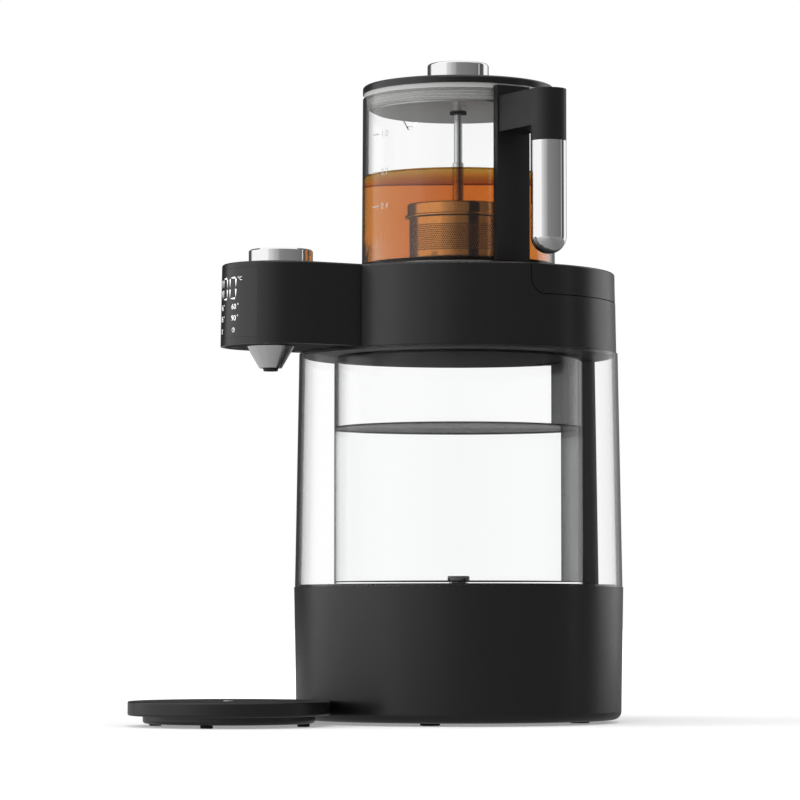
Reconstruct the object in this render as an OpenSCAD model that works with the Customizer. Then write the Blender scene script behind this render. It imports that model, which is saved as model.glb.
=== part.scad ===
// Tea maker: a drum base with a clear water tank on it, a heated housing with a forward arm, dial and spout,
// a glass pot with a lifting infuser, and a loose round coaster. The front is -Y, and the floor is z = 0.

/* [Base] */
// Radius of the base at its top edge
base_r = 109.6; // [106:0.2:118]
// Height of the base casing, without its feet
base_h = 87.7; // [80:0.5:110]
// Wall of the base casing
base_wall = 2.8; // [2:0.1:4]
// Round of the base's bottom edge
base_edge = 5.6; // [3:0.2:8]
// Thickness of the bottom cover
cover_t = 3; // [2.6:0.1:4]
// Diameter of a base foot
foot_d = 13; // [9:0.5:18]
// Height of the feet
foot_h = 2; // [1.5:0.1:4]
// Radius of the circle on which the base feet stand
foot_circle_r = 82; // [72:1:84]

/* [Tank] */
// Height from the base's top to the underside of the housing
tank_h = 155.3; // [130:0.5:190]
// Wall of the clear outer shell
shell_wall = 2.2; // [1.6:0.1:3]
// How far the outer shell stands inside the base's top edge
shell_inset = 0.5; // [0.3:0.1:1]
// Outer radius of the water vessel
vessel_r = 83; // [78:0.5:86]
// Wall of the water vessel
vessel_wall = 1.8; // [1.4:0.1:2.4]
// Height of the gasket under the vessel
gasket_h = 2; // [1.5:0.1:3]
// Height of the ring between the vessel and the shell, at the top
ring_h = 2; // [1.5:0.1:3]
// Radius of the outlet valve's head
valve_r = 7; // [6:0.5:9]
// Width of the rear spine
spine_w = 22; // [21:0.5:30]

/* [Housing] */
// Height of the housing
housing_h = 53.3; // [48:0.1:64]
// Wall of the housing
housing_wall = 2.6; // [2:0.1:3.2]
// Thickness of the housing's top
deck_t = 2.8; // [2.4:0.1:3.4]
// How far the housing stands inside the tank shell's top edge
housing_inset = 0.9; // [0.5:0.1:1.5]
// Round of the housing's top edge
deck_edge = 1.4; // [0.8:0.1:2]
// Half the width of the forward arm, at its foot
arm_r = 39.1; // [36:0.2:44]
// Distance from the drum's axis to the centre of the arm's round end
arm_reach = 136.2; // [126:0.5:150]
// Draft of the walls, in degrees
draft = 1; // [0.5:0.1:1.2]
// Thickness of the housing's bottom cover
plate_t = 2.5; // [2:0.1:3]

/* [Filler] */
// Height of the filler cover
filler_h = 19.6; // [16:0.1:20]
// Angle at which the filler cover starts, measured from +X
filler_start = -5; // [-8:1:-2]
// Wall of the filler cover
filler_wall = 2.2; // [1.8:0.1:2.6]
// Round of the filler cover's lower front corners
filler_corner = 10; // [6:0.5:11]
// Gap round the filler cover
filler_gap = 0.6; // [0.3:0.05:0.8]
// Half the angle that the funnel's mouth spans
funnel_angle = 33; // [26:1:38]
// Radial width of the funnel's neck
neck_w = 6.5; // [6:0.1:7]

/* [Dial and display] */
// Radius of the dial
dial_r = 20.9; // [16:0.1:24]
// Height of the dial over the housing
dial_h = 9.9; // [8:0.1:14]
// Travel of the dial when it is pressed
dial_press = 0.5; // [0.3:0.05:1]
// Radius of the dial's spindle
spindle_r = 3; // [2.5:0.1:3.5]
// Half the angle that the display window spans
window_angle = 38; // [30:1:44]
// Thickness of the display window
window_t = 1.1; // [0.8:0.1:1.4]

/* [Spout] */
// Distance from the centre of the arm's round end forward to the spout's axis
spout_forward = 7.4; // [2:0.2:10]
// Diameter of the spout cone at the arm
spout_d = 30.7; // [26:0.1:36]
// Diameter of the spout cone at its lower end
spout_low_d = 14.6; // [12:0.1:18]
// Height of the spout cone
spout_h = 13.9; // [10:0.1:20]
// Diameter of the black tip
tip_d = 10.2; // [9:0.1:11.5]
// Height of the black tip
tip_h = 2; // [1.5:0.1:4]

/* [Pot] */
// Outer radius of the pot at its foot
pot_r = 64.7; // [60:0.1:66]
// Height of the pot over the housing, up to its glass rim
pot_h = 118; // [100:0.5:140]
// Wall of the pot's glass
glass_t = 2.2; // [1.8:0.1:3]
// How much narrower the pot's radius is at its rim
pot_taper = 0.7; // [0:0.1:2]
// Depth of the recess in which the pot stands
recess_h = 2.5; // [2:0.1:2.8]
// Gap between the pot and the wall of its recess
recess_gap = 1.8; // [1:0.1:2]
// Width of the handle's strip
strip_w = 25; // [18:0.5:30]
// Radius of the grip
grip_r = 11.6; // [9:0.1:12.5]
// Distance from the pot's axis to the grip's axis
grip_reach = 110; // [98:0.5:116]
// Height of the handle's arm
arm_h = 23.6; // [16:0.1:28]
// How far the pour beak stands out from the glass
beak_out = 8; // [5:0.5:11]

/* [Lid and infuser] */
// Thickness of the lid's disc
lid_t = 5; // [4:0.1:8]
// Height of the ridged gasket over the glass rim
gasket_rise = 3.3; // [2.5:0.1:4]
// Depth of the ridged gasket below the glass rim
gasket_drop = 7.1; // [5.2:0.1:8]
// Number of ridges on the gasket
ridges = 3; // [2:1:3]
// Radius of the lift knob
knob_r = 20.6; // [16:0.1:24]
// Height of the lift knob
knob_h = 15.6; // [12:0.1:20]
// Radius of the infuser's rod
rod_r = 2.8; // [2:0.05:3.5]
// Travel of the infuser, until its collar meets the grommet
lift = 32.8; // [20:0.1:38]
// Radius of the infuser basket
basket_r = 24.5; // [20:0.5:30]
// Height of the infuser basket, without its lid
basket_h = 28; // [24:0.5:36]
// Wall of the basket
basket_wall = 0.9; // [0.7:0.1:1.2]
// Radius of a hole in the basket
basket_hole_r = 0.9; // [0.6:0.1:1]
// Rows of holes in the basket
hole_rows = 4; // [2:1:5]
// Holes in each row
holes_round = 24; // [16:2:28]
// Height of the basket's lid
basket_lid_h = 10; // [8:0.5:14]

/* [Coaster] */
// Radius of the coaster
coaster_r = 65; // [55:0.5:75]
// Radius of the coaster's lower disc
coaster_low_r = 55.3; // [50:0.1:60]
// Height of the coaster's lower disc
coaster_low_h = 5.1; // [4:0.1:8]
// Height of the coaster's upper part
coaster_up_h = 9; // [7:0.1:12]
// Thickness of the coaster's top plate
grate_t = 1.5; // [1.2:0.1:2]
// Radius of the bright disc in the coaster's middle
boss_r = 4; // [3:0.5:6]
// Rings of drain holes in the coaster's top plate
drain_rings = 3; // [1:1:3]

/* [Tubes] */
// Outer radius of the water tubes
tube_r = 3.2; // [2.8:0.1:3.4]
// Wall of the water tubes
tube_wall = 1; // [0.7:0.1:1.2]
// Bend radius of the water tubes
tube_bend = 6; // [5:0.5:6]

/* [Hidden] */
$fn = 96;

// Clearances: a loose fit between pieces of one assembly, and a running fit round a spindle or rod
fit = 0.2;
run = 0.06;
// Gap between pieces that lift apart, and a small step that makes a cut pass its face
lift_gap = 0.1;
cut = 1;

// Heights, from the floor up
base_top = foot_h + base_h;
tank_top = base_top + tank_h;
deck_top = tank_top + housing_h;
vessel_foot = base_top + gasket_h;
vessel_top = tank_top - ring_h;
recess_z = deck_top - recess_h;

// Radii that follow from one another
slope = tan(draft);
base_low_r = base_r - (base_h - base_edge) * slope;
shell_r = base_r - shell_inset;
shell_top_r = shell_r - tank_h * slope;
drum_r = shell_top_r - housing_inset;
vessel_in_r = vessel_r - vessel_wall;
spigot_r = shell_r - shell_wall - 2 * fit;
spigot_h = 1.5;
water_bore = tube_r - tube_wall;

// Places inside the base
floor_in = foot_h + cover_t;
level_z = foot_h + 0.49 * base_h;
heater_x = 34;
heater_body_r = 13;
heater_back = 48;
heater_front = -18;
pump_r = 15;
pump_front = -60;
pump_back = -24;
outlet_y = -45;
nipple_l = 6;
riser_y = (vessel_r + shell_top_r - shell_wall) / 2;
opening_r = base_low_r - 10;
screw_circle_r = opening_r - 10;
screw_angles = [20, 110, 200, 290];
post_r = 4.5;
shank_r = 1.4;
head_r = 3;
head_h = 1.4;

// The profile of a round: a quarter of a disc, to the right or to the left
module quarter(edge, side = 1) {
    intersection() {
        circle(edge);
        translate([side > 0 ? 0 : -edge, 0]) square(edge);
    }
}

// The rounded top of a disc, as high as its round
module rounded_cap(r, edge) {
    rotate_extrude() {
        square([r - edge, edge]);
        translate([r - edge, 0]) quarter(edge);
    }
}

// A disc with a drafted wall and a rounded upper edge
module rounded_disc(r, h, edge, r_up = 0) {
    top_r = r_up > 0 ? r_up : r;
    cylinder(h = h - edge, r1 = r, r2 = top_r);
    translate([0, 0, h - edge]) rounded_cap(top_r, edge);
}

// Part of a ring between two radii, between two angles
module sector(r_in, r_out, h, from, to) {
    rotate([0, 0, from]) rotate_extrude(angle = to - from) translate([r_in, 0]) square([r_out - r_in, h]);
}

// Copies of a child on a circle
module at_angles(angles, r) {
    for (a = angles) rotate([0, 0, a]) translate([r, 0, 0]) children();
}

// A small pan-head screw that points up, with a cross slot
module screw(length) {
    difference() {
        union() {
            cylinder(h = head_h, r = head_r);
            cylinder(h = length, r = shank_r);
        }
        for (turn = [0, 90]) rotate([0, 0, turn]) translate([-1.6, -0.4, -cut]) cube([3.2, 0.8, cut + 0.7]);
    }
}

// A run of tube: each leg is a length and the roll towards its next bend
module tube_run(legs, r, i = 0) {
    cylinder(h = legs[i][0], r = r);
    if (i + 1 < len(legs))
        translate([0, 0, legs[i][0]]) rotate([0, 0, legs[i][1]]) {
            translate([tube_bend, 0, 0]) rotate([90, 0, 180])
                rotate_extrude(angle = 90) translate([tube_bend, 0]) circle(r);
            translate([tube_bend, 0, tube_bend]) rotate([0, 90, 0]) tube_run(legs, r, i + 1);
        }
}

module hollow_run(legs) {
    difference() {
        tube_run(legs, tube_r);
        tube_run(legs, water_bore);
    }
}

// ---- Base ----

module base_outer() {
    translate([0, 0, foot_h + base_edge]) cylinder(h = base_h - base_edge, r1 = base_low_r, r2 = base_r);
    translate([0, 0, foot_h + base_edge]) mirror([0, 0, 1]) rounded_cap(base_low_r, base_edge);
}

// The casing: a drum with its top deck, open below, with posts for the bottom cover's screws
module base_shell() {
    color("#26262a") {
        difference() {
            base_outer();
            translate([0, 0, foot_h + cover_t])
                cylinder(h = base_h - cover_t - base_wall, r = base_low_r - base_wall - 1);
            translate([0, 0, foot_h - cut]) cylinder(h = cover_t + 2 * cut, r = opening_r + fit);
            translate([0, 0, base_top - base_wall - cut]) cylinder(h = base_wall + 2 * cut, r = tail_r + fit);
            translate([0, riser_y, base_top - base_wall - cut])
                cylinder(h = base_wall + 2 * cut, r = tube_r + fit);
            at_gland() cylinder(h = base_r, r = gland_r + fit);
        }
        translate([0, 0, base_top]) difference() {
            cylinder(h = spigot_h, r = spigot_r);
            translate([0, 0, -cut]) cylinder(h = spigot_h + 2 * cut, r = spigot_r - 1.2);
        }
        at_angles(screw_angles, screw_circle_r) translate([0, 0, floor_in]) difference() {
            cylinder(h = base_h - cover_t - base_wall, r = post_r);
            translate([0, 0, -cut]) cylinder(h = 12 + cut, r = shank_r + run);
        }
    }
}

// The bottom cover, with recesses for its screw heads and air slots under the power board
module base_cover() {
    color("#1e1e20") difference() {
        translate([0, 0, foot_h]) cylinder(h = cover_t, r = opening_r);
        at_angles(screw_angles, screw_circle_r) translate([0, 0, foot_h - cut]) {
            cylinder(h = head_h + cut + fit, r = head_r + fit);
            cylinder(h = cover_t + 2 * cut, r = shank_r + run);
        }
        for (row = [-3:3])
            translate([-58, row * 6 - 1.25, foot_h - cut]) cube([30, 2.5, cover_t + 2 * cut]);
    }
}

// Four feet on a circle, and one in the middle
module base_foot() {
    translate([0, 0, foot_h]) mirror([0, 0, 1]) rounded_disc(foot_d / 2, foot_h, min(0.8, foot_h / 2));
}

module base_feet() {
    color("#161616") {
        base_foot();
        at_angles([45, 135, 225, 315], foot_circle_r) base_foot();
    }
}

module base_screws() {
    color("#a8aab0") at_angles(screw_angles, screw_circle_r) translate([0, 0, foot_h + fit]) screw(cover_t + 8);
}

// The gland at the rear, through which the mains lead enters
gland_angle = 112;
gland_z = foot_h + 20;
gland_r = 7;
gland_flange = 3;
gland_in_r = base_low_r - base_wall - 1.6;
lead_r = 3.75;

module at_gland() {
    rotate([0, 0, gland_angle]) translate([0, 0, gland_z]) rotate([0, 90, 0]) children();
}

module cord_gland() {
    color("#161616") at_gland() translate([0, 0, gland_in_r - gland_flange]) difference() {
        union() {
            cylinder(h = gland_flange, r = gland_r + 2);
            cylinder(h = 9, r = gland_r);
            translate([0, 0, 9]) cylinder(h = 3, r1 = gland_r, r2 = gland_r - 1);
        }
        translate([0, 0, -cut]) cylinder(h = 12 + 2 * cut, r = lead_r);
    }
}

// The power board on its four standoffs, with a relay, a transformer and two capacitors
board_t = 1.6;
standoff_h = 5;

module power_board() {
    half_l = 0.285 * opening_r;
    half_w = 0.2 * opening_r;
    inset = 4;
    relay_h = 15;
    transformer_h = 18;
    can_r = 4.4;
    translate([-0.45 * opening_r, 0.37 * opening_r, floor_in]) {
        color("#b8b8b8") for (x = [-1, 1], y = [-1, 1])
            translate([x * (half_l - inset), y * (half_w - inset), 0]) cylinder(h = standoff_h, r = 2.2);
        color("#1f5c34") translate([-half_l, -half_w, standoff_h]) cube([2 * half_l, 2 * half_w, board_t]);
        translate([0, 0, standoff_h + board_t]) {
            color("#d8c24a") translate([-half_l + inset, -half_w / 2, 0])
                cube([half_l - inset, half_w, transformer_h]);
            color("#2c4f86") translate([inset, -half_w + inset, 0])
                cube([half_l - 2 * inset, half_w - 2 * inset, relay_h]);
            color("#333333") for (y = [0, 1]) translate([half_l / 2, inset + y * (2 * can_r + 1), 0])
                cylinder(h = transformer_h, r = can_r);
        }
    }
}

// The pump, held on a saddle, with its inlet towards the valve and its outlet to the right
module water_pump() {
    color("#3c4048") difference() {
        union() {
            translate([0, pump_back, level_z]) rotate([90, 0, 0]) cylinder(h = pump_back - pump_front, r = pump_r);
            translate([0, pump_back, level_z]) rotate([-90, 0, 0]) cylinder(h = nipple_l, r = tube_r + 1);
            translate([0, outlet_y, level_z]) rotate([0, 90, 0])
                cylinder(h = pump_r + nipple_l, r = tube_r + 1);
            translate([-9, pump_front + 5, floor_in]) cube([18, 26, level_z - floor_in]);
        }
        translate([0, pump_back - 4, level_z]) rotate([-90, 0, 0]) cylinder(h = nipple_l + 5, r = water_bore);
        translate([pump_r - 2, outlet_y, level_z]) rotate([0, 90, 0]) cylinder(h = nipple_l + 3, r = water_bore);
    }
}

// From the valve down and forward to the pump
module suction_tube() {
    color("#dfe4e6") translate([0, 0, valve_foot]) mirror([0, 0, 1])
        hollow_run([[valve_foot - level_z - tube_bend, -90], [-pump_back - nipple_l - tube_bend, 0]]);
}

// From the pump to the right and back to the heater
module pressure_tube() {
    color("#dfe4e6") translate([pump_r + nipple_l, outlet_y, level_z]) rotate([0, 90, 0])
        hollow_run([[heater_x - pump_r - nipple_l - tube_bend, 90],
            [heater_front - nipple_l - outlet_y - tube_bend, 0]]);
}

// The inline heater: a lagged metal body between two end caps, on a saddle
module inline_heater() {
    color("#c9c9cc") difference() {
        union() {
            translate([heater_x, heater_front, level_z]) rotate([-90, 0, 0])
                cylinder(h = heater_back - heater_front, r = heater_body_r);
            translate([heater_x, heater_front - nipple_l, level_z]) rotate([-90, 0, 0])
                cylinder(h = heater_back - heater_front + 2 * nipple_l, r = tube_r + 1);
            for (y = [heater_front + 8, heater_back - 14])
                translate([heater_x - 8, y, floor_in]) cube([16, 6, level_z - floor_in]);
        }
        translate([heater_x, heater_front - nipple_l - cut, level_z]) rotate([-90, 0, 0])
            cylinder(h = heater_back - heater_front + 2 * (nipple_l + cut), r = water_bore);
    }
}

// From the heater back, across to the spine and up to the housing
module riser_tube() {
    color("#dfe4e6") translate([heater_x, heater_back + nipple_l, level_z]) rotate([-90, 0, 0])
        hollow_run([[riser_y - heater_back - nipple_l - tube_bend, 180],
            [heater_x - 2 * tube_bend, 90],
            [tank_top - level_z - tube_bend, 0]]);
}

// ---- Tank ----

// The valve's tail passes the vessel's floor and the base's deck
tail_r = 5;
valve_h = 3.6;
valve_foot = base_top - 9;

module tank_gasket() {
    color("#2b2b2b") translate([0, 0, base_top]) difference() {
        cylinder(h = gasket_h, r = vessel_r - 0.4);
        translate([0, 0, -cut]) cylinder(h = gasket_h + 2 * cut, r = vessel_r - 7);
    }
}

module tank_vessel() {
    color("#d8dee0", 0.4) translate([0, 0, vessel_foot]) difference() {
        cylinder(h = vessel_top - vessel_foot, r = vessel_r);
        translate([0, 0, vessel_wall]) cylinder(h = vessel_top - vessel_foot, r = vessel_in_r);
        translate([0, 0, -cut]) cylinder(h = vessel_wall + 2 * cut, r = tail_r + fit);
    }
}

// The outlet valve: a low round head over a tail with a through bore and four side ports
module tank_valve() {
    color("#b9bcc0") difference() {
        union() {
            translate([0, 0, vessel_foot + vessel_wall]) rounded_disc(valve_r, valve_h, 0.8);
            translate([0, 0, valve_foot]) cylinder(h = vessel_foot + vessel_wall - valve_foot, r = tail_r);
        }
        translate([0, 0, valve_foot - cut])
            cylinder(h = vessel_foot + vessel_wall + valve_h - valve_foot - 1 + cut, r = water_bore);
        for (turn = [0, 90])
            translate([0, 0, vessel_foot + vessel_wall + 1.5]) rotate([90, 0, turn])
                cylinder(h = 2 * (valve_r + cut), r = 0.9, center = true);
    }
}

module tank_shell() {
    color("#d8dee0", 0.3) translate([0, 0, base_top]) difference() {
        cylinder(h = tank_h, r1 = shell_r, r2 = shell_top_r);
        translate([0, 0, -cut]) cylinder(h = tank_h + 2 * cut, r1 = shell_r - shell_wall + cut * slope,
            r2 = shell_top_r - shell_wall - cut * slope);
    }
}

// The grey ring that closes the space between the vessel and the shell
module tank_ring() {
    color("#8c8f92") translate([0, 0, vessel_top]) difference() {
        cylinder(h = ring_h, r = shell_top_r - shell_wall - fit);
        translate([0, 0, -cut]) cylinder(h = ring_h + 2 * cut, r = vessel_in_r);
        translate([0, riser_y, -cut]) cylinder(h = ring_h + 2 * cut, r = tube_r + fit);
    }
}

// The rear spine: it fills the space behind the vessel and carries the riser tube and the wires
module spine() {
    color("#2a2a2c") translate([0, 0, base_top]) difference() {
        intersection() {
            cylinder(h = vessel_top - base_top, r1 = shell_r - shell_wall - fit,
                r2 = shell_top_r - shell_wall - fit + ring_h * slope);
            translate([-spine_w / 2, vessel_r - 4, 0]) cube([spine_w, shell_r, vessel_top - base_top]);
        }
        translate([0, 0, -cut]) cylinder(h = tank_h, r = vessel_r + fit);
        translate([0, 0, -cut]) difference() {
            cylinder(h = spigot_h + cut + fit, r = spigot_r + cut);
            translate([0, 0, -cut]) cylinder(h = spigot_h + 3 * cut, r = spigot_r - 1.2 - fit);
        }
        translate([0, riser_y, -cut]) cylinder(h = tank_h, r = tube_r + fit);
        translate([spine_w / 2 - 4.2, riser_y, -cut]) cylinder(h = tank_h, r = 2.2);
    }
}

// ---- Housing ----

// Radii of the drum and of the arm at a height
function drum_at(z) = drum_r - (z - tank_top) * slope;
function arm_at(z) = arm_r - (z - tank_top) * slope;

// Heights and radii inside the housing
plug_h = 3.5;
plug_r = vessel_in_r - 3 * fit;
floor_t = 2.5;
plate_hole_r = pot_r - 6.7;
plate_r = plate_hole_r - 2;
recess_r = pot_r + recess_gap;
collar_r = recess_r + 2.1;
filler_z = deck_top - filler_h;
filler_in_r = collar_r + 2 * filler_gap;
shelf_t = 3;
shelf_top = deck_top - filler_wall - 1.6;
inner_wall_r = drum_at(deck_top) - filler_wall - 0.9;
ledge_t = 3.7;
rail_x = inner_wall_r - 17.4;
rail_w = 4;
rail_l = 30;
rail_y = 6;
rail_h = 1.4;
feed_z = tank_top + plate_t + tube_bend + 1;
feed_x = 26;
spout_reach = arm_reach + spout_forward;
nipple_top = tank_top + plate_t + 0.5;
arm_screws = [[-30, -arm_reach + 30], [-22, -arm_reach - 22], [22, -arm_reach - 22]];
encoder_h = 6.5;
encoder_w = 13;
encoder_top = deck_top - deck_t;
board_z = encoder_top - encoder_h;
board_post_x = 20;
board_post_y = -arm_reach + 30;
// How far a post under the deck runs up into it
bedded = 1;

// The drum and the forward arm, with all their walls moved in by an inset, and a rounded upper edge
module housing_block(inset, z0, z1, edge) {
    side_z = z1 - edge;
    low = arm_at(z0) - inset;
    high = arm_at(side_z) - inset;
    translate([0, 0, z0]) edged_disc(drum_at(z0) - inset, drum_at(side_z) - inset, z1 - z0, edge);
    translate([0, -arm_reach, z0]) edged_disc(low, high, z1 - z0, edge);
    rotate([90, 0, 0]) linear_extrude(arm_reach) {
        polygon([[-low, z0], [low, z0], [high, side_z], [-high, side_z]]);
        if (edge > 0) translate([0, side_z]) {
            translate([-high + edge, 0]) square([2 * (high - edge), edge]);
            translate([high - edge, 0]) quarter(edge);
            translate([-high + edge, 0]) quarter(edge, -1);
        }
    }
}

module edged_disc(r_low, r_high, h, edge) {
    if (edge > 0) rounded_disc(r_low, h, edge, r_high);
    else cylinder(h = h, r1 = r_low, r2 = r_high);
}

// The lower front corners that the filler cover leaves to the drum, each beyond a round of the corner's radius
corner_bite = 0.05;
module filler_corners(gap) {
    for (side = [0, 1]) mirror([side, 0, 0]) rotate([0, 0, filler_start]) translate([0, 0, filler_z - gap])
        difference() {
            translate([inner_wall_r - 3, -3, -cut]) cube([12, filler_corner + 3, filler_corner + gap + cut]);
            translate([inner_wall_r - 4, filler_corner - corner_bite, filler_corner + gap - corner_bite])
                rotate([0, 90, 0]) cylinder(h = 14, r = filler_corner + gap);
        }
}

// The space that the filler cover takes out of the drum, with a gap round it
module filler_zone(gap) {
    turn = asin(gap / drum_r);
    difference() {
        translate([0, 0, filler_z - gap])
            sector(filler_in_r - gap, drum_r + 4, filler_h + gap + cut, filler_start - turn, 180 - filler_start + turn);
        filler_corners(gap);
    }
}

// The space that the display window takes out of the arm's end, flush with its wall
module window_zone(gap, proud) {
    low = tank_top + 4.5 - gap;
    high = deck_top - 4 + gap;
    translate([0, -arm_reach, low]) intersection() {
        difference() {
            cylinder(h = high - low, r1 = arm_at(low) + proud, r2 = arm_at(high) + proud);
            translate([0, 0, -cut]) cylinder(h = high - low + 2 * cut, r1 = arm_at(low) - window_t - gap + cut * slope,
                r2 = arm_at(high) - window_t - gap - cut * slope);
        }
        sector(arm_r / 2, arm_r + 2, high - low, -90 - window_angle - gap, -90 + window_angle + gap);
    }
}

// What lies under the filler cover: a shelf with two runner grooves and the funnel's mouth, an inner wall
// with a ledge below it, and a radial wall at each end
module filler_seat() {
    reach = 4;
    turn = asin(filler_gap / drum_r);
    ledge_top = filler_z - filler_gap;
    ledge_r = drum_at(deck_top) - 1.5;
    back_r = inner_wall_r - 2.4;
    difference() {
        rotate([0, 0, filler_start - reach]) rotate_extrude(angle = 180 - 2 * (filler_start - reach))
            polygon([[collar_r - 1, shelf_top - shelf_t], [back_r, shelf_top - shelf_t],
                [back_r, ledge_top - ledge_t], [ledge_r, ledge_top - ledge_t], [ledge_r, ledge_top],
                [inner_wall_r, ledge_top], [inner_wall_r, shelf_top], [collar_r - 1, shelf_top]]);
        translate([0, 0, shelf_top - shelf_t - cut])
            sector(neck_in, mouth_out, shelf_t + 2 * cut, 90 - funnel_angle, 90 + funnel_angle);
        for (side = [-1, 1])
            translate([side * rail_x - rail_w / 2 - filler_gap, rail_y - filler_gap - 0.3, shelf_top - rail_h - fit])
                cube([rail_w + 2 * filler_gap, drum_r, shelf_t]);
    }
    for (side = [0, 1]) mirror([side, 0, 0]) translate([0, 0, ledge_top - ledge_t / 2])
        sector(collar_r - 0.7, ledge_r + 0.3, deck_top - ledge_top + ledge_t / 2 - 1, filler_start - reach + 1,
            filler_start - turn - corner_bite);
}

// The housing: drum and arm in one shell, open below
module housing_shell() {
    color("#202023") {
        difference() {
            housing_block(0, tank_top, deck_top, deck_edge);
            housing_block(housing_wall, tank_top - cut, deck_top - deck_t, 0);
            filler_zone(filler_gap);
            translate([0, 0, recess_z - cut]) cylinder(h = recess_h + 2 * cut, r = recess_r);
            translate([0, -arm_reach, encoder_top - cut]) cylinder(h = deck_t + 2 * cut, r = bush_r + fit);
            window_zone(fit / 2, 1);
        }
        difference() {
            translate([0, 0, recess_z - floor_t]) cylinder(h = recess_h + floor_t, r = collar_r);
            translate([0, 0, recess_z]) cylinder(h = recess_h + cut, r = recess_r);
            translate([0, 0, recess_z - floor_t - cut]) cylinder(h = floor_t + 2 * cut, r = plate_hole_r);
        }
        filler_seat();
        for (place = arm_screws) translate([place[0], place[1], tank_top + plate_t]) difference() {
            cylinder(h = housing_h - plate_t - deck_t + bedded, r = 4);
            translate([0, 0, -cut]) cylinder(h = 10 + cut, r = shank_r + run);
        }
        for (side = [-1, 1]) translate([side * board_post_x, board_post_y, board_z])
            cylinder(h = encoder_h + bedded, r = 2.5);
    }
}

// The bottom cover of drum and arm, with the plug that closes the vessel
module housing_cover() {
    color("#2a2a2c") difference() {
        union() {
            housing_block(housing_wall + fit, tank_top, tank_top + plate_t, 0);
            translate([0, 0, tank_top - plug_h]) cylinder(h = plug_h, r = plug_r);
        }
        translate([0, 0, tank_top - plug_h - cut]) {
            sector(neck_in - funnel_t - fit, neck_out + funnel_t + fit, plug_h + plate_t + 2 * cut,
                90 - neck_angle - 1.6, 90 + neck_angle + 1.6);
            translate([0, riser_y, 0]) cylinder(h = plug_h + plate_t + 2 * cut, r = tube_r + fit);
            translate([0, -spout_reach, 0]) cylinder(h = plug_h + plate_t + 2 * cut, r = spout_nipple_r + fit);
        }
        for (place = arm_screws) translate([place[0], place[1], tank_top - cut]) {
            cylinder(h = head_h + cut + fit, r = head_r + fit);
            cylinder(h = plate_t + 2 * cut, r = shank_r + run);
        }
    }
}

module housing_screws() {
    color("#a8aab0") for (place = arm_screws) translate([place[0], place[1], tank_top + fit]) screw(plate_t + 7);
}

// The tube from the spine round the funnel and forward to the spout
module outlet_tube() {
    color("#dfe4e6") translate([0, riser_y, tank_top])
        hollow_run([[feed_z - tank_top - tube_bend, 0],
            [feed_x - 2 * tube_bend, -90],
            [riser_y + spout_reach - 2 * tube_bend, 0],
            [feed_x - 2 * tube_bend, 90],
            [feed_z - tube_bend - nipple_top, 0]]);
}

spout_nipple_r = tube_r + 1;

module spout_cone() {
    color("#c8cace") translate([0, -spout_reach, tank_top - spout_h]) difference() {
        union() {
            cylinder(h = spout_h, d1 = spout_low_d, d2 = spout_d);
            cylinder(h = spout_h + nipple_top - tank_top, r = spout_nipple_r);
        }
        translate([0, 0, -cut]) cylinder(h = spout_h + nipple_top - tank_top + 2 * cut, r = water_bore);
    }
}

module spout_tip() {
    color("#1a1a1a") translate([0, -spout_reach, tank_top - spout_h - tip_h]) difference() {
        cylinder(h = tip_h, d1 = tip_d - 1, d2 = tip_d);
        translate([0, 0, -cut]) cylinder(h = tip_h + 2 * cut, r = water_bore);
    }
}

// The filler funnel: a crescent bowl that drains into a short neck over the vessel
funnel_t = 1.6;
neck_in = collar_r + 1.4;
neck_out = neck_in + neck_w;
neck_angle = 12;
neck_step = 0.2;
mouth_out = inner_wall_r - 4.4;
bowl_top = shelf_top - shelf_t;
bowl_z = feed_z + tube_r + funnel_t + 2.5;
bowl_rise = 9;

module funnel_bowl(wall) {
    spread = funnel_angle + wall * 0.75;
    rotate([0, 0, 90 - spread]) rotate_extrude(angle = 2 * spread)
        polygon([[neck_in - wall, bowl_z - wall], [neck_out + wall, bowl_z - wall],
            [mouth_out + wall, bowl_z + bowl_rise - wall], [mouth_out + wall, bowl_top + (wall > 0 ? 0 : cut)],
            [neck_in - wall, bowl_top + (wall > 0 ? 0 : cut)]]);
}

module fill_funnel() {
    low = tank_top - plug_h;
    spread = neck_angle + 1.3;
    from_r = neck_in + neck_step;
    to_r = neck_out - neck_step;
    color("#303033") difference() {
        union() {
            funnel_bowl(funnel_t);
            translate([0, 0, low])
                sector(from_r - funnel_t, to_r + funnel_t, bowl_z - low - funnel_t / 2, 90 - spread, 90 + spread);
        }
        funnel_bowl(0);
        translate([0, 0, low - cut])
            sector(from_r, to_r, bowl_z - low + 2 * cut, 90 - neck_angle, 90 + neck_angle);
    }
}

// The filler cover: the rear half of the drum's top, with a skirt and two rails that run in the shelf's grooves
module filler_cover() {
    skin = 0.15;
    side_z = deck_top - deck_edge;
    low_r = drum_at(filler_z) - skin;
    high_r = drum_at(side_z) - skin;
    under_z = deck_top - filler_wall;
    color("#232326") {
        difference() {
            rotate([0, 0, filler_start]) rotate_extrude(angle = 180 - 2 * filler_start) {
                polygon([[filler_in_r, under_z], [high_r - filler_wall, under_z], [low_r - filler_wall, filler_z],
                    [low_r, filler_z], [high_r, side_z], [high_r - deck_edge, side_z],
                    [high_r - deck_edge, deck_top], [filler_in_r, deck_top]]);
                translate([high_r - deck_edge, side_z]) quarter(deck_edge);
            }
            filler_corners(0);
        }
        for (side = [-1, 1]) translate([side * rail_x - rail_w / 2, rail_y, shelf_top - rail_h])
            cube([rail_w, rail_l, under_z - shelf_top + rail_h + 0.5]);
    }
}

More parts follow.
